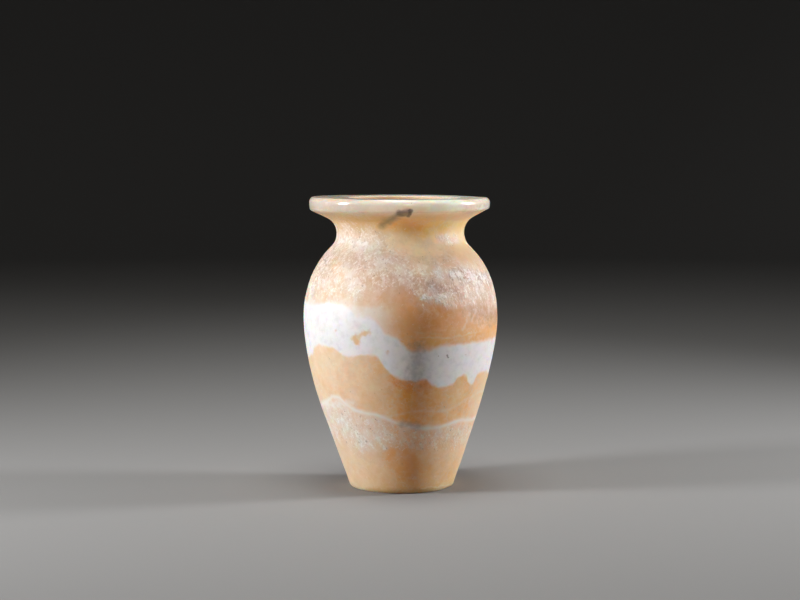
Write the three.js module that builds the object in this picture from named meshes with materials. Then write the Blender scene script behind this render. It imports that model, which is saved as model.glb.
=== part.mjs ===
// A hand-carved alabaster vase: one block of banded stone, hollowed through its mouth.
// It has a small flat foot, an ovoid body that swells to a high shoulder, a short waisted neck
// and a wide flat rim with a thick upright edge. Millimetres, +Z up, the front faces -Y, and
// the origin is at the middle of the underside.
import * as THREE from "three";

// Overall sizes
const HEIGHT = 250; // floor to the top of the rim, on the axis
const FOOT_RADIUS = 45.2; // where the side starts, just above the underside
const BELLY_RADIUS = 84.2;
const NECK_RADIUS = 55.3; // outside, at the waist of the neck
const RIM_RADIUS = 78.3; // outside, at the middle of the rim's edge

// Heights, from the floor or down from the top
const BELLY_HEIGHT = 148.5;
const NECK_DROP = 30.3; // top of the rim to the waist of the neck
const RIM_EDGE = 10.6; // height of the rim's upright edge

// Shape of the body's side
const TAPER = 20.4; // degrees that the lower body leans out from the foot
const TAPER_PULL = 62; // reach of the straight lower side
const BELLY_PULL_DOWN = 40; // reach of the belly's roundness, below its widest place
const BELLY_PULL_UP = 37; // and above it
const SHOULDER_SLOPE = 43.5; // degrees from upright, where the shoulder meets the neck
const SHOULDER_PULL = 6; // reach of the straight stretch there

// Edges and hollows turned by the carver
const FOOT_BEVEL = 1.6;
const NECK_COVE = 16; // radius of the hollow under the waist
const RIM_COVE = 13.8; // radius of the hollow above it
const RIM_BULGE = 0.8; // the rim's edge is a little rounded
const RIM_BEVEL = 2.6; // outer top edge of the rim
const LIP_ROUND = 2.2; // inner top edge of the rim

// Thickness of the stone
const WALL = 10;
const NECK_WALL = 13;
const FLOOR_THICKNESS = 16;
const FLOOR_ROUND = 12; // where the inner floor meets the wall

// What the hand left uneven
const WANDER = [
  { height: 0, right: 0.9 }, // how far the middle stands to the right at that height
  { height: 90, right: -0.3 },
  { height: 200, right: 0.3 },
  { height: 250, right: -0.9 },
];
const RIM_TOP_FALL = 0.8; // how much lower the rim's top is at the right than at the left
const RIM_UNDER_RISE = 1.6; // how much higher its underside is there, so it thins to the right
const FOOT_CHIPS = [
  { azimuth: 64, length: 22, height: 3.4, depth: 1.5 }, // front right
  { azimuth: -2, length: 9, height: 2.6, depth: 0.8 }, // front middle
  { azimuth: 212, length: 16, height: 3, depth: 1.2 }, // back
];

// How finely the curves are cut
const SIDES = 60;
const TAPER_STEPS = 17;
const SHOULDER_STEPS = 11;
const COVE_STEPS = 4;
const ROUND_STEPS = 3;
const FLAT_RINGS = 3;
const INNER_THINNING = 2; // the inside keeps one point for this many of the outside

const NECK_HEIGHT = HEIGHT - NECK_DROP;
const BORE_RADIUS = NECK_RADIUS - NECK_WALL;

const degrees = THREE.MathUtils.degToRad;
const point = (radius, height) => new THREE.Vector2(radius, height);

// The point that is a given way along a slope measured from upright.
function along(start, slope, distance) {
  return point(
    start.x + Math.sin(degrees(slope)) * distance,
    start.y + Math.cos(degrees(slope)) * distance,
  );
}

// The points of an arc round a centre, from one angle to another, in radians.
function arc(centre, radius, from, to, steps) {
  return Array.from({ length: steps + 1 }, (_, i) => {
    const angle = from + ((to - from) * i) / steps;
    return point(
      centre.x + radius * Math.cos(angle),
      centre.y + radius * Math.sin(angle),
    );
  });
}

// The points of a flat run, from its start up to the one before its end.
function flat(start, end) {
  return Array.from({ length: FLAT_RINGS }, (_, i) => start.clone().lerp(end, i / FLAT_RINGS));
}

// The outer side from the foot to the waist of the neck.
function bodySide() {
  const foot = point(FOOT_RADIUS, FOOT_BEVEL);
  const belly = point(BELLY_RADIUS, BELLY_HEIGHT);
  const turn = degrees(SHOULDER_SLOPE);
  const coveCentre = point(NECK_RADIUS + NECK_COVE, NECK_HEIGHT);
  const cove = arc(coveCentre, NECK_COVE, Math.PI + turn, Math.PI, COVE_STEPS);
  const slopeFoot = along(cove[0], 180 - SHOULDER_SLOPE, SHOULDER_PULL);
  const taper = new THREE.CubicBezierCurve(
    foot,
    along(foot, TAPER, TAPER_PULL),
    point(belly.x, belly.y - BELLY_PULL_DOWN),
    belly,
  );
  const shoulder = new THREE.CubicBezierCurve(
    belly,
    point(belly.x, belly.y + BELLY_PULL_UP),
    slopeFoot,
    cove[0],
  );
  return [
    ...taper.getPoints(TAPER_STEPS),
    ...shoulder.getPoints(SHOULDER_STEPS).slice(1),
    ...cove.slice(1),
  ];
}

// The hollow above the waist, then straight out to the lower corner of the rim's edge.
// The straight part is the tangent from that corner to the hollow's circle.
function rimUnderside() {
  const corner = point(RIM_RADIUS - RIM_BULGE, HEIGHT - RIM_EDGE);
  const centre = point(NECK_RADIUS + RIM_COVE, NECK_HEIGHT);
  const reach = corner.clone().sub(centre);
  const touch = reach.angle() + Math.acos(RIM_COVE / reach.length());
  const cove = arc(centre, RIM_COVE, Math.PI, touch, COVE_STEPS + 1);
  const middle = cove.at(-1).clone().lerp(corner, 0.5);
  return [...cove.slice(1), middle, corner];
}

// The rim's rounded edge, its bevelled outer corner, its flat top and the lip of the mouth.
function rimTop() {
  const lipCentre = point(BORE_RADIUS + LIP_ROUND, HEIGHT - LIP_ROUND);
  const lip = arc(lipCentre, LIP_ROUND, Math.PI / 2, Math.PI, ROUND_STEPS);
  return [
    point(RIM_RADIUS, HEIGHT - RIM_EDGE / 2),
    point(RIM_RADIUS - RIM_BULGE / 2, HEIGHT - RIM_BEVEL),
    ...flat(point(RIM_RADIUS - RIM_BEVEL, HEIGHT), lip[0]),
    ...lip,
  ];
}

// The inner side, from the bore of the neck down to the middle of the inner floor. It follows
// the outer side at the wall's thickness, which grows towards the neck.
function hollow(side) {
  const inner = side.map((p, i) => {
    const before = side[Math.max(i - 1, 0)];
    const after = side[Math.min(i + 1, side.length - 1)];
    const way = after.clone().sub(before).normalize();
    const nearNeck = THREE.MathUtils.smoothstep(p.y, BELLY_HEIGHT, NECK_HEIGHT);
    const wall = THREE.MathUtils.lerp(WALL, NECK_WALL, nearNeck);
    return point(p.x - way.y * wall, p.y + way.x * wall);
  });
  inner[inner.length - 1] = point(BORE_RADIUS, NECK_HEIGHT);
  const above = inner.filter((p) => p.y > FLOOR_THICKNESS + FLOOR_ROUND).reverse();
  const lowest = above.pop();
  const downWall = (lowest.y - FLOOR_THICKNESS) / Math.cos(degrees(TAPER));
  const sharp = along(lowest, 180 + TAPER, downWall);
  const edge = point(sharp.x - FLOOR_ROUND, FLOOR_THICKNESS);
  const corner = new THREE.QuadraticBezierCurve(lowest, sharp, edge);
  return [
    ...above.filter((_, i) => i % INNER_THINNING === 0),
    ...corner.getPoints(ROUND_STEPS).slice(0, -1),
    ...flat(edge, point(0, FLOOR_THICKNESS)),
    point(0, FLOOR_THICKNESS),
  ];
}

// The closed outline of the stone, from the middle of the underside, up the outside, over the
// rim and down the inside to the middle of the inner floor.
function outline() {
  const side = bodySide();
  const footEdge = point(FOOT_RADIUS - FOOT_BEVEL, 0);
  return [
    ...flat(point(0, 0), footEdge),
    footEdge,
    ...side,
    ...rimUnderside(),
    ...rimTop(),
    point(BORE_RADIUS, HEIGHT - NECK_DROP / 2),
    ...hollow(side),
  ];
}

// How much stone a chip at the foot has taken from one place, in millimetres.
function chipped(chip, azimuth, height, radius) {
  const turned = THREE.MathUtils.euclideanModulo(azimuth - chip.azimuth + 180, 360) - 180;
  const aside = (degrees(turned) * radius) / (chip.length / 2);
  const up = height / chip.height;
  return chip.depth * Math.max(0, 1 - aside * aside - up * up);
}

// How far the middle of the stone stands to the right, at a height.
function wander(height) {
  const above = Math.max(1, WANDER.findIndex((place) => place.height >= height));
  const [low, high] = [WANDER[above - 1], WANDER[above]];
  const share = THREE.MathUtils.smoothstep(height, low.height, high.height);
  return THREE.MathUtils.lerp(low.right, high.right, share);
}

// How much higher the stone is at the rim's right than at its left, at a height: nothing at the
// neck, up to the underside's rise, and then down to the top's fall.
function rimRise(height) {
  const under = HEIGHT - RIM_EDGE;
  const underShare = THREE.MathUtils.smoothstep(height, NECK_HEIGHT, under);
  const topShare = THREE.MathUtils.smoothstep(height, under, HEIGHT);
  return THREE.MathUtils.lerp(RIM_UNDER_RISE, -RIM_TOP_FALL, topShare) * underShare;
}

// Lets the turned shape wander, makes its rim uneven and knocks the chips off its foot.
function unsettle(geometry) {
  const place = geometry.getAttribute("position");
  for (let i = 0; i < place.count; i += 1) {
    const [x, y, z] = [place.getX(i), place.getY(i), place.getZ(i)];
    const radius = Math.hypot(x, y);
    const azimuth = THREE.MathUtils.radToDeg(Math.atan2(x, -y));
    const inFoot = radius > FOOT_RADIUS - 2 * FOOT_BEVEL && z < FLOOR_THICKNESS / 2;
    const lost = inFoot
      ? FOOT_CHIPS.reduce((sum, chip) => sum + chipped(chip, azimuth, z, radius), 0)
      : 0;
    const kept = radius > 0 ? 1 - lost / radius : 1;
    const rise = (x / (2 * RIM_RADIUS)) * rimRise(z);
    place.setXYZ(i, x * kept + wander(z), y * kept, z + rise);
  }
  return geometry;
}

const turned = new THREE.LatheGeometry(outline(), SIDES).rotateX(Math.PI / 2);
const stone = new THREE.MeshStandardMaterial({ color: 0xdcb48a, roughness: 0.42, metalness: 0 });

const vase = new THREE.Mesh(unsettle(turned), stone);
vase.name = "vase";

const part = new THREE.Group();
part.add(vase);

export default part;
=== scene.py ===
import logging
import math
from dataclasses import dataclass
from enum import Enum
from typing import Any, Iterator, Optional

import bpy
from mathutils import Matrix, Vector


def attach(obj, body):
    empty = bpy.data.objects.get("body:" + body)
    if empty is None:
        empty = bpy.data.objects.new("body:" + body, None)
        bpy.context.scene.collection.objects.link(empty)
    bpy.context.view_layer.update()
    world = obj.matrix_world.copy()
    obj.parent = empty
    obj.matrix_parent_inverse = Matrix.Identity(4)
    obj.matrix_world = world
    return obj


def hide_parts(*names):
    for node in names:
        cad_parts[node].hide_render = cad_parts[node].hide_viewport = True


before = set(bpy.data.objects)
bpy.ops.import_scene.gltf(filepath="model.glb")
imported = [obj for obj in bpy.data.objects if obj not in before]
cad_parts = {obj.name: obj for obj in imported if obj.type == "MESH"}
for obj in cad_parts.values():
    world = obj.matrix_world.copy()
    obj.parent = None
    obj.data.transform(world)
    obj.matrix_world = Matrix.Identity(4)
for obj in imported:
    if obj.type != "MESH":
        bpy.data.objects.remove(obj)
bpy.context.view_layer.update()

log = logging.getLogger("alabaster_vase")

MM = 0.001  # metres in a millimetre
TOP = 250.0  # millimetres from the floor to the top of the rim

Socket = bpy.types.NodeSocket
Tree = bpy.types.NodeTree


def linear(hex_colour: str) -> tuple[float, float, float, float]:
    """Turns an sRGB colour into Blender's linear colour.

    Args:
        hex_colour: Six hex digits after a hash.

    Returns:
        Red, green, blue and alpha, from 0 to 1.
    """
    digits = hex_colour.lstrip("#")
    channels = [int(digits[i:i + 2], 16) / 255 for i in (0, 2, 4)]
    curved = [c / 12.92 if c <= 0.04045 else ((c + 0.055) / 1.055) ** 2.4 for c in channels]
    return curved[0], curved[1], curved[2], 1.0


def add_node(
    tree: Tree,
    kind: str,
    inputs: Optional[dict[Any, Any]] = None,
    out: Any = 0,
    **settings: Any,
) -> Optional[Socket]:
    """Adds a node with its settings and links.

    Args:
        tree: The material's or the world's node tree.
        kind: Blender's name for the node, after its "ShaderNode".
        inputs: For an input's name or number, a socket to link or a value to set.
        out: The name or number of the output that is wanted.
        **settings: The node's own settings.

    Returns:
        The output socket that was asked for, or nothing from a node that has none.
    """
    node = tree.nodes.new(f"ShaderNode{kind}")
    for name, value in settings.items():
        setattr(node, name, value)
    for key, value in (inputs or {}).items():
        if isinstance(value, Socket):
            tree.links.new(value, node.inputs[key])
        else:
            node.inputs[key].default_value = value
    return node.outputs[out] if node.outputs else None


def empty_material(name: str) -> bpy.types.Material:
    """Starts a material.

    Args:
        name: What the material is.

    Returns:
        A material with no nodes.
    """
    material = bpy.data.materials.new(name)
    material.use_nodes = True
    material.node_tree.nodes.clear()
    return material


def select_only(piece: bpy.types.Object) -> None:
    """Deselects everything and makes one object selected and active.

    Args:
        piece: The object that the next operators act on.
    """
    bpy.ops.object.select_all(action="DESELECT")
    piece.select_set(True)
    bpy.context.view_layer.objects.active = piece


class Face(Enum):
    """The side of the vase that a flaw lies on."""

    FRONT = "front"
    BACK = "back"


@dataclass(frozen=True)
class Contour:
    """A line that the pattern follows: an edge round the vase, or a section up its wall.

    The points of an edge are degrees to the right of the front and millimetres above the floor,
    from the back on the left, round the front, to the back on the right. Those of a section are
    millimetres above the floor and millimetres from the axis.
    """

    name: str
    points: tuple[tuple[float, float], ...]
    span: tuple[float, float] = (-180.0, 180.0)  # what the first number of a point runs between

    def draw(self, tree: Tree, share: Socket) -> Socket:
        """Gives how high or how far out the line is at each place.

        Args:
            tree: The material's node tree.
            share: Where a place is on the line's span, from 0 to 1.

        Returns:
            Millimetres.
        """
        curve = add_node(tree, "FloatCurve", {"Value": share}, label=self.name)
        mapping = curve.node.mapping
        line = mapping.curves[0]
        low, high = self.span
        places = [((first - low) / (high - low), second / TOP) for first, second in self.points]
        line.points[0].location = places[0]
        line.points[1].location = places[-1]
        for place in places[1:-1]:
            line.points.new(*place)
        mapping.update()
        return add_node(tree, "Math", {0: curve, 1: TOP}, operation="MULTIPLY")


@dataclass(frozen=True)
class Mark:
    """A flaw or inclusion: a straight stroke as seen from the front or the back, or a spot.

    Sizes are in millimetres. Places are (x, height).
    """

    start: tuple[float, float]
    end: tuple[float, float]
    width: float
    softness: float
    colour: str
    strength: float = 1.0
    face: Face = Face.FRONT
    ragged: float = 1.6  # how uneven its edge is, as a share of its softness


@dataclass(frozen=True)
class Bed:
    """One layer of the stone, from the left side of the vase to the right."""

    height: float
    left: str
    right: str


@dataclass(frozen=True)
class Lumps:
    """Natural unevenness in the stone."""

    size: float  # millimetres from lump to lump
    detail: int  # how many finer sizes lie on them
    swing: float  # its whole range, in the unit of what it makes uneven


@dataclass(frozen=True)
class Edge:
    """Where a soft edge lies and how wide it is, in the unit of what it divides."""

    place: float
    softness: float


@dataclass(frozen=True)
class Flecks:
    """Long crystal flecks that all lean one way."""

    size: float  # width of a fleck, in millimetres
    stretch: float  # its width as a share of its length
    slant: float  # degrees that it leans over, seen from the front
    softness: float = 0.1  # of its edge, as a share of its brightness
    strength: float = 1.0


@dataclass(frozen=True)
class Web:
    """A broken web of hair-thin healed cracks."""

    size: float  # millimetres across a mesh
    width: float  # of a thread, as a share of a mesh
    strength: float
    colour: str
    detail: int = 4
    gap_detail: int = 2  # of the coarser unevenness that breaks it


@dataclass(frozen=True)
class Seam:
    """A thin vein along a contour. Millimetres."""

    width: float  # how far from the contour it keeps its strength
    softness: float  # width of its edges
    strength: float


BAND_TOP = Contour("top of the white band", (
    (-180, 147), (-135, 156), (-95, 161), (-66, 160.5), (-41, 163), (-31, 160.5), (-27, 155.5),
    (-17, 152), (-12.5, 147), (-8.5, 139.5), (-3.5, 137), (1, 132), (5, 127), (14, 126.5),
    (21, 128), (25, 129.5), (38, 130), (47, 131), (66, 130.5), (100, 131), (140, 138), (180, 147),
))
BAND_BOTTOM = Contour("bottom of the white band", (
    (-180, 111), (-140, 117), (-100, 114), (-67, 118), (-62, 124.5), (-45, 126.5), (-40, 124),
    (-35, 120.5), (-15, 121.5), (-11, 116), (-7, 108), (-2, 102.5), (9, 101), (15.5, 102),
    (20, 97), (35, 95.5), (38.5, 101), (44.5, 103), (48.5, 97), (53.5, 94.5), (57, 102.5),
    (66, 102.5), (100, 97), (140, 103), (180, 111),
))
VEIN = Contour("the white vein", (
    (-180, 68), (-130, 75), (-90, 70), (-66, 75.5), (-46, 83.5), (-39.5, 77.5), (-29.5, 72.5),
    (-18, 70.5), (-8, 66.5), (4, 61.5), (21, 59), (32, 59), (44.5, 62.5), (63, 61), (95, 60),
    (135, 62), (180, 68),
))
FAINT_VEIN = Contour("the faint vein above it, at the right", (
    (-180, 68), (-130, 75), (-66, 75.5), (-29.5, 72.5), (-10, 70), (13, 74.5), (30, 73),
    (41, 75.5), (50, 81), (90, 84), (135, 76), (180, 68),
))
FROST_TOP = Contour("top of the frosty zone", (
    (-180, 214), (-120, 222), (-60, 229), (-25, 227), (-12, 219), (0, 207), (12, 199), (25, 197),
    (40, 199), (65, 193), (95, 194), (135, 203), (180, 214),
))
FROST_BOTTOM = Contour("bottom of the frosty zone", (
    (-180, 182), (-120, 186), (-66, 168), (-45, 165), (-25, 170), (-10, 178), (0, 176), (12, 167),
    (25, 163), (40, 160), (65, 157), (95, 158), (135, 170), (180, 182),
))

MID_WALL = Contour("middle of the wall's thickness", (
    (0, 38), (16, 45), (60, 61), (100, 73.5), (148, 79), (178, 75), (195, 65), (206, 54),
    (220, 48.5), (236, 50), (250, 52),
), (0.0, TOP))


class StoneBoard:
    """The tree that a stone's pattern is drawn on, with its coordinates in millimetres."""

    sides: Edge = Edge(0.0, 10.0)  # depth at which marks of the front and back fade out
    edge_lumps: Lumps = Lumps(4, 3, 1.0)  # along the edge of a mark
    drift: Lumps = Lumps(7, 3, 5.0)  # by which a mark is bent
    lump_roughness: float = 0.55  # how strong the finer sizes of lumps are
    fleck_roughness: float = 0.7
    fleck_detail: int = 3
    whole: float = 2.0  # swing of a field that runs from -1 to 1
    shortest: float = 1e-6  # squared length that a spot counts as having

    def __init__(self, tree: Tree) -> None:
        """Lays out the coordinates.

        Args:
            tree: An empty material tree.
        """
        self.tree = tree
        place = add_node(tree, "TexCoord", out="Object")
        self.place = add_node(tree, "VectorMath", {0: place, "Scale": 1 / MM}, operation="SCALE")
        split = add_node(tree, "SeparateXYZ", {0: self.place}).node
        self.across, back, self.height = split.outputs
        self.front = add_node(tree, "Math", {0: back, 1: -1.0}, operation="MULTIPLY")
        angle = add_node(tree, "Math", {0: self.across, 1: self.front}, operation="ARCTAN2")
        self.turn = add_node(tree, "Math", {0: angle, 1: 1 / math.tau, 2: 0.5},
                             operation="MULTIPLY_ADD")
        self.facing = {
            Face.FRONT: self.past(self.front, self.sides),
            Face.BACK: self.before(self.front, self.sides),
        }
        self.lumps: dict[tuple[float, float], Socket] = {}
        self.ragged = self.mottle(self.edge_lumps)
        self.vein = VEIN.draw(tree, self.turn)
        bend = add_node(tree, "TexNoise", {
            "Vector": self.place, "Scale": 1 / self.drift.size, "Detail": self.drift.detail,
        }, out="Color")
        swing = self.drift.swing
        bend = add_node(tree, "VectorMath", {
            0: bend, 1: (swing, 0.0, swing), 2: (-swing / 2, 0.0, -swing / 2),
        }, operation="MULTIPLY_ADD")
        seen = add_node(tree, "CombineXYZ", {0: self.across, 2: self.height})
        self.flat = add_node(tree, "VectorMath", {0: seen, 1: bend}, operation="ADD")

    def mottle(self, lumps: Lumps, onto: Any = 0.0) -> Socket:
        """Adds natural unevenness to a field or number.

        Args:
            lumps: The unevenness.
            onto: What it is added to.

        Returns:
            The uneven field.
        """
        kind = (lumps.size, lumps.detail)
        if kind not in self.lumps:
            noise = add_node(self.tree, "TexNoise", {
                "Vector": self.place, "Scale": 1 / lumps.size, "Detail": lumps.detail,
                "Roughness": self.lump_roughness,
            })
            self.lumps[kind] = add_node(self.tree, "Math", {0: noise, 1: 0.5}, operation="SUBTRACT")
        return add_node(self.tree, "Math", {
            0: self.lumps[kind], 1: lumps.swing, 2: onto,
        }, operation="MULTIPLY_ADD")

    def flecks(self, flecks: Flecks) -> Socket:
        """Scatters long crystal flecks.

        Args:
            flecks: Their size and slant.

        Returns:
            From 0 between flecks to 1 on the brightest.
        """
        turned = add_node(self.tree, "Mapping", {
            "Vector": self.place, "Rotation": (0.0, math.radians(flecks.slant), 0.0),
        })
        across = 1 / flecks.size
        upright = add_node(self.tree, "Mapping", {
            "Vector": turned, "Scale": (across, across, flecks.stretch / flecks.size),
        })
        return add_node(self.tree, "TexNoise", {
            "Vector": upright, "Scale": 1.0, "Detail": self.fleck_detail,
            "Roughness": self.fleck_roughness,
        })

    def threads(self, web: Web) -> Socket:
        """Finds a web of healed cracks, broken where a coarser unevenness is low.

        Args:
            web: The web.

        Returns:
            From 0 between the threads to the web's strength on them.
        """
        lumps = self.mottle(Lumps(web.size, web.detail, self.whole))
        away = add_node(self.tree, "Math", {0: lumps}, operation="ABSOLUTE")
        coarse = self.mottle(Lumps(web.size * 2, web.gap_detail, self.whole))
        shown = self.past(coarse, Edge(0.0, 1.0), within=web.strength)
        return self.above(web.width, away, web.width * 2, 0.0, shown)

    def past(self, field: Socket, edge: Edge, wobble: Any = 0.0, within: Any = 1.0) -> Socket:
        """Finds where a field is past an edge.

        Args:
            field: The field.
            edge: The edge that it crosses.
            wobble: Unevenness added to the edge.
            within: What the result reaches, such as another mask.

        Returns:
            From 0, short of the edge, to what it may reach, past it.
        """
        return self.above(field, edge.place, edge.softness, wobble, within)

    def before(self, field: Socket, edge: Edge, wobble: Any = 0.0, within: Any = 1.0) -> Socket:
        """Finds where a field is short of an edge.

        Args:
            field: The field.
            edge: The edge that it crosses.
            wobble: Unevenness added to the edge.
            within: What the result reaches, such as another mask.

        Returns:
            From 0, past the edge, to what it may reach, short of it.
        """
        return self.above(edge.place, field, edge.softness, wobble, within)

    def above(
        self, upper: Any, lower: Any, softness: float, wobble: Any = 0.0, within: Any = 1.0,
    ) -> Socket:
        """Finds where one field is above another.

        Args:
            upper: The field that is to be above.
            lower: The field that is to be below.
            softness: The width of the edge, in the fields' unit.
            wobble: Unevenness added to the edge.
            within: What the result reaches, such as another mask.

        Returns:
            From 0, below, to what it may reach, above.
        """
        lifted = add_node(self.tree, "Math", {0: upper, 1: wobble}, operation="ADD")
        clear = add_node(self.tree, "Math", {0: lifted, 1: lower}, operation="SUBTRACT")
        return add_node(self.tree, "MapRange", {
            "Value": clear, "From Min": -softness / 2, "From Max": softness / 2, "To Max": within,
        }, interpolation_type="SMOOTHSTEP")

    def paint(self, under: Socket, coats: Iterator[tuple[str, Socket]]) -> Socket:
        """Lays coats of colour over each other, each where its mask says.

        Args:
            under: The colour under them.
            coats: Each coat's colour and mask, from the lowest up.

        Returns:
            The painted colour.
        """
        for colour, mask in coats:
            under = add_node(self.tree, "Mix", {0: mask, 6: under, 7: linear(colour)},
                             out=2, data_type="RGBA")
        return under

    def stroke(self, mark: Mark) -> Socket:
        """Finds a mark.

        Args:
            mark: The flaw or inclusion.

        Returns:
            From 0, off the mark, to its strength on it.
        """
        tree = self.tree
        start = Vector((mark.start[0], 0.0, mark.start[1]))
        run = Vector((mark.end[0], 0.0, mark.end[1])) - start
        reach = add_node(tree, "VectorMath", {0: self.flat, 1: start}, operation="SUBTRACT")
        share = add_node(tree, "VectorMath", {
            0: reach, 1: run / max(run.length_squared, self.shortest),
        }, out="Value", operation="DOT_PRODUCT")
        share = add_node(tree, "Math", {0: share, 1: 0.0}, operation="MAXIMUM")
        share = add_node(tree, "Math", {0: share, 1: 1.0}, operation="MINIMUM")
        along = add_node(tree, "VectorMath", {0: run, "Scale": share}, operation="SCALE")
        away = add_node(tree, "VectorMath", {0: reach, 1: along}, out="Value", operation="DISTANCE")
        edge = add_node(tree, "Math", {
            0: self.ragged, 1: mark.softness * mark.ragged, 2: mark.width,
        }, operation="MULTIPLY_ADD")
        shown = self.above(edge, away, mark.softness, 0.0, self.facing[mark.face])
        return add_node(tree, "Math", {0: shown, 1: mark.strength}, operation="MULTIPLY")


@dataclass(frozen=True)
class Bedding:
    """The honey beds: tilted, paler and pinker at the left, more amber at the right, with painted
    shade at the left and painted light at the right near the rim.
    """

    tilt: float = 0.22  # how far they fall to the right
    levelling: Edge = Edge(212.0, 34.0)  # height over which they lie level
    wander: Lumps = Lumps(45, 2, 16.0)
    ripple: Lumps = Lumps(11, 3, 5.0)
    meeting: Edge = Edge(-14.0, 80.0)  # place across where the left colours meet the right
    sway: Lumps = Lumps(28, 3, 50.0)
    cloud: Lumps = Lumps(20, 3, 0.9)
    fine_cloud: Lumps = Lumps(6, 5, 0.7)
    calm: float = 0.3  # share of the clouds that is left near the rim
    brightening: float = 0.17  # by a cloud
    paling: float = 0.5  # by a cloud
    beds_with_painted_light: tuple[Bed, ...] = (
        Bed(0, "#EBCBA6", "#F4C486"),
        Bed(30, "#ECCDAE", "#F4C894"),
        Bed(46, "#EECDB2", "#F9CCA0"),
        Bed(62, "#EECCB0", "#F9CB9E"),
        Bed(68, "#F5CDA8", "#FFC28A"),
        Bed(110, "#F6CFAB", "#FFC188"),
        Bed(132, "#F2CDA7", "#FCBE88"),
        Bed(152, "#E4C29B", "#F6B678"),
        Bed(170, "#DEBE9F", "#E5B086"),
        # painted shade from here up: the left colours are greyer and darker than the stone
        Bed(184, "#D6BA9F", "#D6AC8F"),
        # painted light from here up: the right colours are paler than the stone
        Bed(206, "#D6BAA2", "#E2C09E"),
        Bed(221, "#D2B289", "#F8D3A2"),
        Bed(229, "#DAB26C", "#FFD48A"),
        Bed(235, "#D6BE84", "#F0DA9C"),
        Bed(240, "#CEC6B2", "#FFF0D8"),
        Bed(245, "#CEC6BC", "#FFF8EE"),
    )

    def lay(self, board: StoneBoard) -> Socket:
        """Lays the beds, with clouds in them.

        Args:
            board: What the pattern is drawn on.

        Returns:
            The colour of the beds.
        """
        tree = board.tree
        below = board.before(board.height, self.levelling)
        slope = add_node(tree, "Math", {0: below, 1: self.tilt}, operation="MULTIPLY")
        wander = add_node(tree, "Math", {0: below, 1: board.mottle(self.wander)},
                          operation="MULTIPLY")
        level = add_node(tree, "Math", {0: board.across, 1: slope, 2: board.height},
                         operation="MULTIPLY_ADD")
        level = add_node(tree, "Math", {0: level, 1: wander}, operation="ADD")
        share = add_node(tree, "Math", {0: board.mottle(self.ripple, level), 1: TOP},
                         operation="DIVIDE")
        sides = [self.colours(tree, share, side) for side in ("left", "right")]
        rightwards = board.past(board.across, self.meeting, board.mottle(self.sway))
        base = add_node(tree, "Mix", {0: rightwards, 6: sides[0], 7: sides[1]}, out=2,
                        data_type="RGBA")
        cloud = board.mottle(self.fine_cloud, board.mottle(self.cloud))
        kept = add_node(tree, "Math", {0: below, 1: 1.0 - self.calm, 2: self.calm},
                        operation="MULTIPLY_ADD")
        cloud = add_node(tree, "Math", {0: cloud, 1: kept}, operation="MULTIPLY")
        return add_node(tree, "HueSaturation", {
            "Color": base,
            "Value": add_node(tree, "Math", {0: cloud, 1: self.brightening, 2: 1.0},
                              operation="MULTIPLY_ADD"),
            "Saturation": add_node(tree, "Math", {0: cloud, 1: -self.paling, 2: 1.0},
                                   operation="MULTIPLY_ADD"),
        })

    def colours(self, tree: Tree, share: Socket, side: str) -> Socket:
        """Stacks the beds' colours of one side of the vase.

        Args:
            tree: The material's node tree.
            share: The level in the beds, from 0 at the lowest to 1.
            side: The name of the beds' field for that side.

        Returns:
            The colour at each level.
        """
        ramp = add_node(tree, "ValToRGB", {"Fac": share}, label=side).node
        stops = ramp.color_ramp.elements
        stops[1].position = 1.0
        for bed in self.beds_with_painted_light[1:]:
            stops.new(bed.height / TOP)
        for stop, bed in zip(stops, (*self.beds_with_painted_light, self.beds_with_painted_light[-1])):
            stop.color = linear(getattr(bed, side))
        return ramp.outputs["Color"]


@dataclass(frozen=True)
class WhiteBand:
    """The opaque white band, ragged along its two edges, with a haze over its left part."""

    colour: str = "#F3F0F0"
    grey: str = "#CFCBC9"
    top_softness: float = 5.0  # millimetres
    bottom_softness: float = 3.6
    sway: Lumps = Lumps(17, 2, 5.0)
    ragged: Lumps = Lumps(5, 3, 2.6)
    cover: float = 0.94
    chalk: Lumps = Lumps(8, 4, 0.16)  # how its cover varies
    haze_bottom: Edge = Edge(132.0, 10.0)
    haze_top: Edge = Edge(164.0, 16.0)
    haze_right: Edge = Edge(-10.0, 30.0)
    haze_ragged: Lumps = Lumps(6, 4, 14.0)
    haze_cover: float = 0.6
    greying: Lumps = Lumps(6, 4, 2.0)
    grey_edge: Edge = Edge(0.25, 0.9)
    grey_cover: float = 0.55

    def find(self, board: StoneBoard) -> Socket:
        """Finds the band.

        Args:
            board: What the pattern is drawn on.

        Returns:
            From 0, off the band, to 1 in it.
        """
        ragged = board.mottle(self.ragged, board.mottle(self.sway))
        chalk = board.mottle(self.chalk, self.cover)
        under_top = board.above(BAND_TOP.draw(board.tree, board.turn), board.height,
                                self.top_softness, ragged, chalk)
        return board.above(board.height, BAND_BOTTOM.draw(board.tree, board.turn),
                           self.bottom_softness, ragged, under_top)

    def coats(self, board: StoneBoard, white: Socket) -> Iterator[tuple[str, Socket]]:
        """Makes the band's coats of colour.

        Args:
            board: What the pattern is drawn on.
            white: Where the band is.

        Yields:
            A coat's colour and its mask, from the lowest up.
        """
        haze = board.before(board.across, self.haze_right, within=self.haze_cover)
        haze = board.before(board.height, self.haze_top, board.mottle(self.haze_ragged), haze)
        yield self.colour, board.past(board.height, self.haze_bottom, within=haze)
        yield self.colour, white
        cloudy = add_node(board.tree, "Math", {0: white, 1: self.grey_cover}, operation="MULTIPLY")
        yield self.grey, board.past(board.mottle(self.greying), self.grey_edge, within=cloudy)


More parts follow.
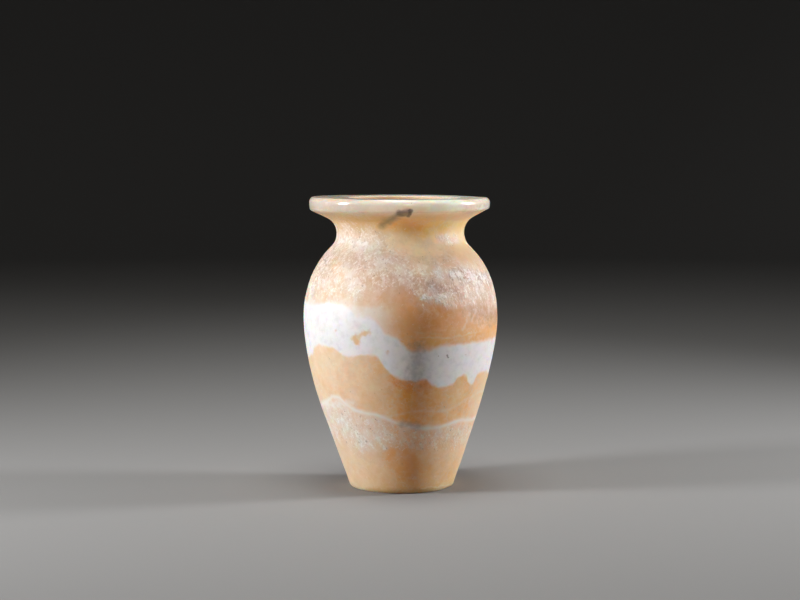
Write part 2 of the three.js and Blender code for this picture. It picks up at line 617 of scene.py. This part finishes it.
@dataclass(frozen=True)
class Crystals:
    """The crystalline stone: crusts, then the shoulder and the zone below the vein."""

    frost: str = "#E3CAB8"
    wisp: str = "#F4EAE2"
    speck: str = "#FCF2EA"
    # painted shade: dark pits beside the crystal flecks
    pit_shadow: str = "#94705A"
    top_softness: float = 14.0  # millimetres
    bottom_softness: float = 12.0
    ragged: Lumps = Lumps(14, 3, 26.0)
    on_shoulder: float = 0.5  # how crystalline it is, where 1 is a crust
    below_vein: float = 0.44
    vein_gap: float = 2.0  # millimetres from the middle of the vein down to the zone
    vein_softness: float = 5.0
    low_end: Edge = Edge(38.0, 18.0)
    density: float = 0.85
    crowding: Lumps = Lumps(6, 4, 1.1)
    frost_cover: float = 0.62
    webs: tuple[Web, ...] = (
        Web(15, 0.08, 0.32, "#E3CAB8"),
        Web(7, 0.06, 0.2, "#FCF2EA"),
    )
    wisps: Flecks = Flecks(6.4, 0.4, 24.0)
    wisp_edge: Edge = Edge(0.53, 0.14)  # brightness over which a fleck is a wisp
    pit_shadows: Flecks = Flecks(2.9, 0.7, 30.0, 0.1, 0.6)
    pit_shadow_level: float = 0.28  # brightness under which a fleck is a pit, painted dark as its shadow
    pit_shadow_rise: float = 0.15  # of that level, in a crust
    # The specks are drawn a little coarser than real ones, or they wouldn't show.
    specks: tuple[Flecks, ...] = (
        Flecks(1.7, 0.45, 8.0, 0.1, 0.75),
        Flecks(2.8, 0.8, 0.0, 0.11, 0.6),
        Flecks(2.2, 0.3, -54.0, 0.1, 0.65),
    )
    speck_level: float = 0.71  # brightness over which a fleck is a speck
    speck_fall: float = 0.22  # of that level, in a crust
    crusts_and_painted_shade: tuple[Mark, ...] = (
        # where crystals crowd at the surface, two of them painted darker as shade
        Mark((-52, 212), (-28, 212), 5.0, 9.0, "#E8D8CC", 0.75),
        Mark((-40, 208), (2, 195), 3.5, 7.0, "#E8D6C8", 0.7),
        Mark((20, 170), (36, 169), 2.2, 5.0, "#EBD6CA", 0.8),
        # a crust at the right of the shoulder, painted darker as shade
        Mark((46, 187), (72, 181), 5.5, 8.0, "#B89682", 0.85),
        Mark((50, 170), (80, 166), 3.2, 8.0, "#D0B09A", 0.5),
        Mark((33, 217), (46, 214), 3.0, 6.0, "#D8BEA8", 0.5),
        Mark((-46, 192), (-37, 174), 5.0, 9.0, "#EADACC", 0.6),
        # a crust at the far left of the shoulder, painted darker as shade
        Mark((-76, 172), (-58, 204), 6.0, 14.0, "#CDB49E", 0.8),
        Mark((-48, 64), (-30, 44), 6.0, 10.0, "#EAD8CA", 0.7),
        Mark((-20, 52), (-13, 42), 2.4, 5.0, "#EFDCCE", 0.6),
        Mark((30, 52), (44, 50), 4.0, 8.0, "#ECD2BE", 0.4),
        Mark((-60, 190), (10, 178), 6.0, 12.0, "#EED8CA", 0.7, Face.BACK),
        Mark((20, 205), (50, 196), 5.0, 10.0, "#F0DED2", 0.7, Face.BACK),
    )

    def find(self, board: StoneBoard) -> Socket:
        """Finds where the stone is crystalline.

        Args:
            board: What the pattern is drawn on.

        Returns:
            From 0, clear stone, to 1, a crust of crystals.
        """
        tree = board.tree
        ragged = board.mottle(self.ragged)
        shoulder = board.above(FROST_TOP.draw(tree, board.turn), board.height,
                               self.top_softness, ragged, self.on_shoulder)
        shoulder = board.above(board.height, FROST_BOTTOM.draw(tree, board.turn),
                               self.bottom_softness, ragged, shoulder)
        low = board.above(board.vein, board.height, self.vein_softness, -self.vein_gap,
                          self.below_vein)
        low = board.past(board.height, self.low_end, ragged, low)
        zone = add_node(tree, "Math", {0: shoulder, 1: low}, operation="MAXIMUM")
        for crust in self.crusts_and_painted_shade:
            zone = add_node(tree, "Math", {0: zone, 1: board.stroke(crust)}, operation="MAXIMUM")
        density = board.mottle(self.crowding, self.density)
        zone = add_node(tree, "Math", {0: zone, 1: density}, operation="MULTIPLY")
        return add_node(tree, "Math", {0: zone, 1: 1.0}, operation="MINIMUM")

    def coats(self, board: StoneBoard, crust: Socket) -> Iterator[tuple[str, Socket]]:
        """Makes the crystals' coats of colour: cracks, frost, crusts, wisps, painted shadows in
        pits, and specks.

        Args:
            board: What the pattern is drawn on.
            crust: How crystalline the stone is.

        Yields:
            A coat's colour and its mask, from the lowest up.
        """
        tree = board.tree
        for web in self.webs:
            yield web.colour, board.threads(web)
        yield self.frost, add_node(tree, "Math", {0: crust, 1: self.frost_cover},
                                   operation="MULTIPLY")
        for mark in self.crusts_and_painted_shade:
            yield mark.colour, board.stroke(mark)
        yield self.wisp, board.past(board.flecks(self.wisps), self.wisp_edge, within=crust)
        level = add_node(tree, "Math", {0: crust, 1: self.pit_shadow_rise, 2: self.pit_shadow_level},
                         operation="MULTIPLY_ADD")
        yield self.pit_shadow, board.above(level, board.flecks(self.pit_shadows), self.pit_shadows.softness, 0.0,
                                    self.pit_shadows.strength)
        level = add_node(tree, "Math", {
            0: crust, 1: -self.speck_fall, 2: self.speck_level,
        }, operation="MULTIPLY_ADD")
        for specks in self.specks:
            yield self.speck, board.above(board.flecks(specks), level, specks.softness, 0.0,
                                          specks.strength)


@dataclass(frozen=True)
class Veins:
    """The white vein and the faint one above it."""

    colour: str = "#F8EEE8"
    main: Seam = Seam(1.6, 4.6, 1.0)
    faint: Seam = Seam(0.8, 3.6, 0.32)
    wander: Lumps = Lumps(14, 2, 3.0)
    ragged: Lumps = Lumps(9, 3, 1.8)
    density: float = 0.85
    patches: Lumps = Lumps(20, 3, 0.6)  # how its density varies

    def find(self, board: StoneBoard, line: Socket, seam: Seam) -> Socket:
        """Finds one vein.

        Args:
            board: What the pattern is drawn on.
            line: The height of the line that it follows.
            seam: The vein.

        Returns:
            From 0, off the vein, to its strength on its middle.
        """
        tree = board.tree
        away = add_node(tree, "Math", {0: board.mottle(self.wander, board.height), 1: line},
                        operation="SUBTRACT")
        away = add_node(tree, "Math", {0: away}, operation="ABSOLUTE")
        patchy = add_node(tree, "Math", {
            0: board.mottle(self.patches, self.density), 1: seam.strength,
        }, operation="MULTIPLY")
        return board.above(seam.width, away, seam.softness, board.mottle(self.ragged), patchy)

    def coats(self, board: StoneBoard) -> Iterator[tuple[str, Socket]]:
        """Makes the veins' coats of colour.

        Args:
            board: What the pattern is drawn on.

        Yields:
            A coat's colour and its mask, from the lowest up.
        """
        yield self.colour, self.find(board, board.vein, self.main)
        faint_line = FAINT_VEIN.draw(board.tree, board.turn)
        yield self.colour, self.find(board, faint_line, self.faint)


@dataclass(frozen=True)
class Hollow:
    """The hollow, rough from the drill and dull with dust, and the stained top of the rim."""

    dust: str = "#C2A17C"
    cover: float = 0.8
    mouth: Edge = Edge(249.0, 2.0)
    mouth_ragged: Lumps = Lumps(5, 3, 2.0)
    floor: Edge = Edge(12.0, 2.0)
    wall_softness: float = 2.0  # millimetres
    stain: str = "#D8B88E"
    stain_bottom: Edge = Edge(247.5, 2.0)
    stain_cover: float = 0.5
    stain_lumps: Lumps = Lumps(15, 3, 2.0)
    stain_edge: Edge = Edge(0.22, 0.5)

    def find(self, board: StoneBoard) -> Socket:
        """Finds the hollow.

        Args:
            board: What the pattern is drawn on.

        Returns:
            From 0, outside, to the dust's cover inside.
        """
        tree = board.tree
        radius = add_node(tree, "VectorMath", {
            0: add_node(tree, "CombineXYZ", {0: board.across, 1: board.front}),
        }, out="Value", operation="LENGTH")
        share = add_node(tree, "Math", {0: board.height, 1: TOP}, operation="DIVIDE")
        inside = board.before(board.height, self.mouth, board.mottle(self.mouth_ragged),
                              self.cover)
        inside = board.past(board.height, self.floor, within=inside)
        return board.above(MID_WALL.draw(tree, share), radius, self.wall_softness, 0.0, inside)

    def coats(self, board: StoneBoard) -> Iterator[tuple[str, Socket]]:
        """Makes the coats of stain and dust.

        Args:
            board: What the pattern is drawn on.

        Yields:
            A coat's colour and its mask, from the lowest up.
        """
        top = board.past(board.height, self.stain_bottom, within=self.stain_cover)
        yield self.stain, board.past(board.mottle(self.stain_lumps), self.stain_edge, within=top)
        yield self.dust, self.find(board)


@dataclass(frozen=True)
class Polish:
    """How smooth each part of the stone is, as the shader's roughness, and its fine relief."""

    body: float = 0.5
    rim: float = 0.16
    crystals: float = 0.64
    hollow: float = 0.9
    rim_bottom: Edge = Edge(238.0, 8.0)
    rubbing: Lumps = Lumps(6, 3, 0.12)
    grain: Lumps = Lumps(1.6, 4, 1.0)
    grain_strength: float = 0.2
    grain_depth: float = 0.25  # millimetres
    torn: Flecks = Flecks(2.4, 0.6, 20.0)  # crystals that stand proud
    torn_strength: float = 0.8
    torn_depth: float = 1.2  # millimetres

    def roughness(self, board: StoneBoard, crust: Socket, inside: Socket) -> Socket:
        """Gives how matt each place is.

        Args:
            board: What the pattern is drawn on.
            crust: How crystalline the stone is.
            inside: Where the unpolished hollow is.

        Returns:
            The shader's roughness.
        """
        tree = board.tree
        rim = board.past(board.height, self.rim_bottom)
        matt = add_node(tree, "Mix", {0: rim, 2: self.body, 3: self.rim})
        matt = add_node(tree, "Mix", {0: crust, 2: matt, 3: self.crystals})
        matt = add_node(tree, "Mix", {0: inside, 2: matt, 3: self.hollow})
        return board.mottle(self.rubbing, matt)

    def relief(self, board: StoneBoard, crust: Socket) -> Socket:
        """Gives the surface its grain and its torn crystals.

        Args:
            board: What the pattern is drawn on.
            crust: How crystalline the stone is.

        Returns:
            The shader's normal.
        """
        tree = board.tree
        grain = add_node(tree, "Bump", {
            "Height": board.mottle(self.grain),
            "Strength": self.grain_strength,
            "Distance": self.grain_depth * MM,
        })
        torn = add_node(tree, "Math", {0: board.flecks(self.torn), 1: crust}, operation="MULTIPLY")
        return add_node(tree, "Bump", {
            "Height": torn,
            "Strength": self.torn_strength,
            "Distance": self.torn_depth * MM,
            "Normal": grain,
        })


@dataclass(frozen=True)
class BandedAlabaster:
    """Calcite alabaster, cut from a banded bed and polished by hand.

    Light goes deep into it, so it looks soft and lit from within, and the honey beds turn a
    deeper orange where less light falls; down the front that orange is also painted in, as shade.
    The white band is chalkier and lets less light in. The rim has the best polish, and the
    crystalline patches stay matt and rough.
    """

    name: str = "banded calcite alabaster, hand polished"
    refraction: float = 1.52
    depth: float = 14.0  # millimetres that red light travels into the honey stone
    travel: tuple[float, float, float] = (1.0, 0.44, 0.22)  # of red, green and blue, as shares
    chalkiness: float = 0.8  # share of that depth which the white band takes away
    glow: Edge = Edge(224.0, 24.0)  # height over which light goes deeper, in the neck and rim
    glow_depth: float = 0.4  # share of the depth that it gains there
    bedding: Bedding = Bedding()
    band: WhiteBand = WhiteBand()
    crystals: Crystals = Crystals()
    veins: Veins = Veins()
    hollow: Hollow = Hollow()
    polish: Polish = Polish()
    stains_and_painted_light: tuple[Mark, ...] = (
        # stains in the honey stone, with painted shade and painted light among them, which the
        # white band and the crystals lie over
        # painted shade, in this mark and the next two: a deeper amber down the front, where less
        # light falls
        Mark((9, 98), (8, 70), 10.0, 24.0, "#FFAC46", 1.0),
        Mark((8, 52), (8, 4), 9.0, 22.0, "#FFBE74", 0.7),
        Mark((-2, 99), (22, 95), 4.5, 9.0, "#F4943A", 0.6),
        Mark((4, 134), (34, 132), 4.5, 9.0, "#FFB860", 0.7),
        # painted shade: a deeper amber down the front, where less light falls
        Mark((-2, 35), (6, 24), 11.0, 9.0, "#F4AC5C", 0.7),
        Mark((28, 156), (24, 150), 9.0, 14.0, "#E59A4E", 0.55),
        Mark((10, 160), (9, 134), 5.0, 14.0, "#F8B068", 0.6),
        # painted shade: the right of the amber zone darker
        Mark((64, 160), (84, 150), 8.0, 14.0, "#C2946E", 0.85),
        Mark((-57, 196), (-50, 189), 5.0, 8.0, "#F0BE7C", 0.8),
        Mark((-4, 188), (20, 181), 4.5, 8.0, "#C8A084", 0.85),
        Mark((24, 179), (50, 174), 4.0, 7.0, "#BE947E", 0.75),
        # the amber layer under the rim, in this mark and the next: a real stain, painted brighter
        # as light glowing through the rim
        Mark((-16, 230), (34, 225), 3.0, 17.0, "#FCC66A", 0.85, ragged=0.5),
        Mark((0, 227), (20, 222.5), 2.4, 11.0, "#F0B040", 0.8, ragged=0.5),
        Mark((-60, 234), (-14, 233), 2.0, 7.0, "#E0BC74", 0.6),
        Mark((40, 232), (62, 236), 3.0, 10.0, "#F2E0C2", 0.5),
        # painted light: the neck paler at the front, under the rim, where the lamps don't reach
        Mark((-6, 211), (28, 207), 6.0, 11.0, "#FFDCB6", 0.8),
        # painted shade: the right end of the rim greyer
        Mark((56, 245), (80, 245), 4.0, 9.0, "#DCCABC", 0.75),
        Mark((80, 118), (62, 66), 7.0, 22.0, "#EFD3B8", 0.6),
    )
    flaws_and_painted_light: tuple[Mark, ...] = (
        # what shows in the polished face, with painted shade and a painted highlight among them,
        # over all else
        Mark((-15, 228.2), (-1, 238), 2.4, 6.0, "#827860", 0.64, ragged=0.4),
        Mark((-1, 238.6), (6, 239.4), 2.8, 3.0, "#5A574B", 0.66, ragged=0.6),
        Mark((7, 237.2), (7.4, 241.2), 1.7, 1.3, "#605B50", 0.6),
        Mark((-38, 136), (-36, 133), 3.0, 3.4, "#E8BC8A", 0.9),
        Mark((-35, 137), (-27, 142), 1.8, 3.6, "#EBC598", 0.8),
        Mark((-29, 139), (-26, 141), 1.4, 3.0, "#EBC598", 0.6),
        Mark((-53, 141.5), (-53, 141.5), 0.7, 2.4, "#D8B090", 0.6),
        Mark((-11, 124), (-10, 126), 1.0, 3.0, "#E2C09C", 0.6),
        Mark((39, 122), (40.5, 119), 0.5, 0.8, "#7C6250", 0.7),
        Mark((32, 120), (32, 120), 0.5, 0.9, "#A58A75", 0.6),
        Mark((54, 121), (54, 121), 0.6, 1.1, "#B99A80", 0.5),
        Mark((52, 142), (57, 155), 0.8, 2.2, "#F4DEC8", 0.5),
        Mark((60, 148), (63, 158), 0.6, 2.0, "#F4DEC8", 0.45),
        Mark((-11, 162), (-8, 150), 0.9, 3.0, "#F2D6B6", 0.5),
        Mark((27, 161), (31, 155), 0.7, 2.2, "#F0CFAC", 0.5),
        Mark((15, 137.5), (38, 136), 0.5, 1.8, "#F4DCC0", 0.45),
        Mark((38, 136), (66, 139), 0.5, 1.8, "#F4DCC0", 0.45),
        Mark((12, 141), (34, 139.5), 0.4, 1.8, "#F0D2B0", 0.35),
        Mark((-67, 199), (-62, 194), 0.4, 1.2, "#A98A6E", 0.6),
        # painted shade: the vein greyer at the front, where less light falls
        Mark((2, 63.5), (15, 61), 2.6, 6.0, "#B9A696", 0.55),
        Mark((-62, 75), (-40, 80), 2.4, 7.0, "#F6EAE2", 0.65),
        # painted shade: the white band greyer at the front, where less light falls
        Mark((14, 128), (12, 104), 4.0, 15.0, "#A69E97", 0.45),
        # painted highlight: a pale line on the foot's lower edge, at the right
        Mark((18, 4.6), (42, 3.6), 0.5, 1.0, "#FFEACB", 0.6),
        # painted shade: a brown line along the foot's lower edge at the front
        Mark((-26, 2.6), (26, 2.2), 1.8, 3.0, "#DC9E5C", 0.45),
        Mark((34, 147), (42, 141), 1.6, 4.0, "#E8BE94", 0.6, Face.BACK),
        Mark((-19, 128), (-15, 125), 2.2, 5.0, "#E6BC90", 0.6, Face.BACK),
    )

    def make(self) -> bpy.types.Material:
        """Builds the material.

        Returns:
            The finished material.
        """
        material = empty_material(self.name)
        board = StoneBoard(material.node_tree)
        white = self.band.find(board)
        crust = self.crystals.find(board)
        colour = board.paint(self.bedding.lay(board), self.coats(board, white, crust))
        shader = self.shader(board, colour, white, crust)
        add_node(board.tree, "OutputMaterial", {"Surface": shader})
        return material

    def coats(
        self, board: StoneBoard, white: Socket, crust: Socket,
    ) -> Iterator[tuple[str, Socket]]:
        """Makes the coats of colour over the honey stone: stains, crystals, band, veins, flaws,
        with painted light and shade among the stains, crystals and flaws.

        Each is made only when it is asked for, because the renderer can't hold them all at once.

        Args:
            board: What the pattern is drawn on.
            white: Where the white band is.
            crust: How crystalline the stone is.

        Yields:
            A coat's colour and its mask, from the lowest up.
        """
        for mark in self.stains_and_painted_light:
            yield mark.colour, board.stroke(mark)
        yield from self.crystals.coats(board, crust)
        yield from self.band.coats(board, white)
        yield from self.veins.coats(board)
        for mark in self.flaws_and_painted_light:
            yield mark.colour, board.stroke(mark)
        yield from self.hollow.coats(board)

    def shader(self, board: StoneBoard, colour: Socket, white: Socket, crust: Socket) -> Socket:
        """Gives the stone its depth, polish and fine relief.

        Args:
            board: What the pattern is drawn on.
            colour: The painted colour.
            white: Where the white band is.
            crust: How crystalline the stone is.

        Returns:
            The surface shader.
        """
        tree = board.tree
        roughness = self.polish.roughness(board, crust, self.hollow.find(board))
        clear = add_node(tree, "Math", {0: white, 1: -self.chalkiness, 2: 1.0},
                         operation="MULTIPLY_ADD")
        glow = board.past(board.height, self.glow, within=self.glow_depth)
        clear = add_node(tree, "Math", {0: glow, 1: clear}, operation="ADD")
        reach = add_node(tree, "Math", {0: clear, 1: self.depth * MM}, operation="MULTIPLY")
        return add_node(tree, "BsdfPrincipled", {
            "Base Color": colour,
            "Roughness": roughness,
            "IOR": self.refraction,
            "Subsurface Weight": 1.0,
            "Subsurface Radius": self.travel,
            "Subsurface Scale": reach,
            "Normal": self.polish.relief(board, crust),
        })


@dataclass(frozen=True)
class Wear:
    """Unevenness that the hand or time has left in the surface: stone taken off, never added."""

    name: str
    size: float  # millimetres from lump to lump
    depth: float  # millimetres at most
    zone: tuple[float, float]  # heights between which it is at full depth
    detail: int = 2  # how many finer sizes lie on the lumps


@dataclass(frozen=True)
class Arris:
    """A crisp edge that the carver left, all round the vase. Millimetres."""

    name: str
    radius: float
    height: float
    sharpness: float  # from 0, round, to 1, a knife edge

    def reach(self, place: Vector) -> float:
        """Gives how far a point is from the arris, in millimetres."""
        return math.hypot(math.hypot(place.x, place.y) / MM - self.radius,
                          place.z / MM - self.height)


@dataclass
class Vase:
    """The vase: one carved block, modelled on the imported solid."""

    node: str = "vase"
    name: str = "alabaster_vase"
    body: str = "root"
    finish: str = "alabaster"
    merge: float = 0.01  # millimetres within which doubled points are one
    fold: float = 50.0  # degrees at most between two triangles that make one face
    skew: float = 70.0  # degrees at most that such a face is off square
    rounding: int = 2  # times that each face is split
    fade: float = 12.0  # millimetres over which wear fades out past its zone
    near: float = 1.35  # millimetres within which an edge belongs to an arris
    arrises: tuple[Arris, ...] = (
        Arris("rim, lower corner", 77.5, 239.4, 0.4),
        Arris("rim, under the bevel", 77.9, 247.4, 0.35),
        Arris("rim, over the bevel", 75.7, 250.0, 0.6),
        Arris("foot, over the bevel", 45.2, 1.6, 0.6),
        Arris("foot, on the floor", 43.6, 0.0, 0.6),
    )
    wear: tuple[Wear, ...] = (
        Wear("hand carving", 42.0, 0.7, (10.0, 250.0)),
        Wear("polishing", 15.0, 0.22, (10.0, 250.0)),
        Wear("crystals lost from the shoulder", 6.0, 0.5, (172.0, 214.0)),
        Wear("crystals lost low down", 7.0, 0.3, (32.0, 52.0)),
    )

    def build(self, source: bpy.types.Object) -> bpy.types.Object:
        """Models the stone.

        Args:
            source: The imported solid, which is left as it is.

        Returns:
            The finished piece, riding on its body in place of the solid.
        """
        piece = bpy.data.objects.new(self.name, source.data.copy())
        bpy.context.scene.collection.objects.link(piece)
        select_only(piece)
        bpy.ops.object.mode_set(mode="EDIT")
        bpy.ops.mesh.select_all(action="SELECT")
        bpy.ops.mesh.remove_doubles(threshold=self.merge * MM)
        bpy.ops.mesh.tris_convert_to_quads(
            face_threshold=math.radians(self.fold), shape_threshold=math.radians(self.skew),
        )
        for arris in self.arrises:
            self.sharpen(piece, arris)
        bpy.ops.object.mode_set(mode="OBJECT")
        smooth = piece.modifiers.new("rounded by hand", "SUBSURF")
        smooth.levels = self.rounding
        smooth.render_levels = self.rounding
        bpy.ops.object.modifier_apply(modifier=smooth.name)
        for wear in self.wear:
            self.wear_down(piece, wear)
        bpy.ops.object.shade_smooth()
        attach(piece, self.body)
        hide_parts(self.node)
        return piece

    def sharpen(self, piece: bpy.types.Object, arris: Arris) -> None:
        """Creases one arris.

        Args:
            piece: The vase, in edit mode.
            arris: The edge to keep crisp.
        """
        bpy.ops.mesh.select_all(action="DESELECT")
        bpy.ops.object.mode_set(mode="OBJECT")
        mesh = piece.data
        on_arris = [arris.reach(vertex.co) < self.near for vertex in mesh.vertices]
        for edge in mesh.edges:
            edge.select = all(on_arris[i] for i in edge.vertices)
        bpy.ops.object.mode_set(mode="EDIT")
        bpy.ops.mesh.select_mode(type="EDGE")
        bpy.ops.transform.edge_crease(value=arris.sharpness)

    def wear_down(self, piece: bpy.types.Object, wear: Wear) -> None:
        """Takes stone off unevenly.

        Args:
            piece: The vase, selected and active.
            wear: What is taken off, and where.
        """
        zone = piece.vertex_groups.new(name=wear.name)
        low, high = wear.zone
        for vertex in piece.data.vertices:
            height = vertex.co.z / MM
            outside = max(low - height, height - high, 0.0)
            if outside < self.fade:
                zone.add([vertex.index], 1.0 - outside / self.fade, "REPLACE")
        lumps = bpy.data.textures.new(wear.name, "CLOUDS")
        lumps.noise_scale = wear.size * MM
        lumps.noise_depth = wear.detail
        cut = piece.modifiers.new(wear.name, "DISPLACE")
        cut.texture = lumps
        cut.texture_coords = "LOCAL"
        cut.vertex_group = zone.name
        cut.mid_level = 1.0
        cut.strength = wear.depth * MM
        bpy.ops.object.modifier_apply(modifier=cut.name)

    def dress(self, piece: bpy.types.Object, material: bpy.types.Material) -> None:
        """Gives the piece its stone."""
        piece.data.materials.clear()
        piece.data.materials.append(material)


@dataclass(frozen=True)
class Softbox:
    """A lamp behind a large diffuser, aimed at the vase."""

    name: str
    azimuth: float  # degrees to the right of the front
    elevation: float  # degrees above the floor
    distance: float
    width: float
    height: float
    power: float
    colour: str
    aim: float = 0.13  # height of the place that it is turned to
    spread: float = 180.0  # degrees that its light fans out, less with a grid in front

    def hang(self) -> None:
        """Puts the lamp in its place."""
        lamp = bpy.data.lights.new(self.name, "AREA")
        lamp.shape = "RECTANGLE"
        lamp.size = self.width
        lamp.size_y = self.height
        lamp.energy = self.power
        lamp.color = linear(self.colour)[:3]
        lamp.spread = math.radians(self.spread)
        turn, lift = math.radians(self.azimuth), math.radians(self.elevation)
        out = Vector((math.sin(turn) * math.cos(lift), -math.cos(turn) * math.cos(lift),
                      math.sin(lift)))
        holder = bpy.data.objects.new(self.name, lamp)
        holder.location = Vector((0.0, 0.0, self.aim)) + out * self.distance
        holder.rotation_euler = out.to_track_quat("Z", "Y").to_euler()
        holder.visible_camera = False
        bpy.context.scene.collection.objects.link(holder)


@dataclass(frozen=True)
class MattPaper:
    """Matt paper, which throws soft light back and shows no reflection."""

    name: str = "matt paper sweep"
    colour: str = "#8F8E8D"
    roughness: float = 0.8

    def make(self) -> bpy.types.Material:
        """Builds the material.

        Returns:
            The finished material.
        """
        material = empty_material(self.name)
        paper = add_node(material.node_tree, "BsdfPrincipled", {
            "Base Color": linear(self.colour), "Roughness": self.roughness,
        })
        add_node(material.node_tree, "OutputMaterial", {"Surface": paper})
        return material


@dataclass
class Studio:
    """A pale sweep of paper, soft lamps and the camera."""

    radius: float = 3.2  # of the flat floor
    curve: float = 1.5  # radius of the sweep up to the wall
    wall: float = 1.6
    steps: int = 10  # in that curve
    sides: int = 96  # round the floor
    paper: MattPaper = MattPaper()
    sky: str = "#908E8C"
    sky_strength: float = 0.08
    lens: float = 85.0
    sensor: float = 36.0
    camera_place: tuple[float, float, float] = (-0.0004, -1.6239, 0.3002)
    pitch: float = 4.9  # degrees that the camera looks down
    lamps: tuple[Softbox, ...] = (
        Softbox("left softbox", -73.0, 17.0, 1.35, 0.26, 0.5, 5.7, "#FBFCFF", spread=100.0),
        Softbox("right softbox", 95.5, 17.0, 1.45, 0.26, 0.5, 5.9, "#FBFCFF", spread=100.0),
        Softbox("overhead fill", -5.0, 85.0, 1.6, 0.7, 0.7, 15.0, "#FFFDF8"),
        Softbox("gridded fill on the neck", 12.0, 8.0, 1.5, 0.06, 0.06, 0.0045, "#FFFDF8",
                aim=0.205, spread=5.0),
    )

    def build(self) -> None:
        """Lays the floor, hangs the lamps and sets up the camera."""
        self.lay_floor()
        for lamp in self.lamps:
            lamp.hang()
        self.light_room()
        self.place_camera()
        bpy.context.scene.view_settings.view_transform = "Standard"

    def lay_floor(self) -> None:
        """Makes the floor and its sweep up to the wall, all round."""
        bpy.ops.mesh.primitive_circle_add(vertices=self.sides, radius=self.radius, fill_type="NGON")
        floor = bpy.context.active_object
        floor.name = "floor"
        select_only(floor)
        bpy.ops.object.mode_set(mode="EDIT")
        bpy.ops.mesh.select_all(action="SELECT")
        bpy.ops.mesh.region_to_loop()
        reach = self.radius
        level = 0.0
        for step in range(1, self.steps + 1):
            angle = math.pi / 2 * step / self.steps
            next_reach = self.radius + self.curve * math.sin(angle)
            next_level = self.curve * (1 - math.cos(angle))
            self.pull_edge(next_reach / reach, next_level - level)
            reach, level = next_reach, next_level
        self.pull_edge(1.0, self.wall)
        bpy.ops.object.mode_set(mode="OBJECT")
        bpy.ops.object.shade_smooth()
        floor.data.materials.append(self.paper.make())

    def pull_edge(self, widen: float, lift: float) -> None:
        """Extrudes the floor's open edge.

        Args:
            widen: How much wider the new edge is.
            lift: How much higher it is, in metres.
        """
        bpy.ops.mesh.extrude_edges_move(TRANSFORM_OT_translate={"value": (0.0, 0.0, lift)})
        bpy.ops.transform.resize(value=(widen, widen, 1.0), center_override=(0.0, 0.0, 0.0))

    def light_room(self) -> None:
        """Gives the room its even, dim light."""
        world = bpy.data.worlds.new("room")
        world.use_nodes = True
        tree = world.node_tree
        tree.nodes.clear()
        air = add_node(tree, "Background", {
            "Color": linear(self.sky), "Strength": self.sky_strength,
        })
        add_node(tree, "OutputWorld", {"Surface": air})
        bpy.context.scene.world = world

    def place_camera(self) -> None:
        """Sets up the camera at the photograph's angle."""
        lens = bpy.data.cameras.new("camera")
        lens.lens = self.lens
        lens.sensor_width = self.sensor
        camera = bpy.data.objects.new("camera", lens)
        camera.location = self.camera_place
        camera.rotation_euler = (math.radians(90.0 - self.pitch), 0.0, 0.0)
        bpy.context.scene.collection.objects.link(camera)
        bpy.context.scene.camera = camera


def main() -> None:
    """Builds the studio and the vase, and reports each piece."""
    logging.basicConfig(level=logging.INFO, format="%(message)s")
    Studio().build()
    vase = Vase()
    piece = vase.build(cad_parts[vase.node])
    vase.dress(piece, BandedAlabaster().make())
    log.info("%s: %d faces, replaces %s", piece.name, len(piece.data.polygons), vase.node)
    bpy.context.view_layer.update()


if __name__ == "__main__":
    main()
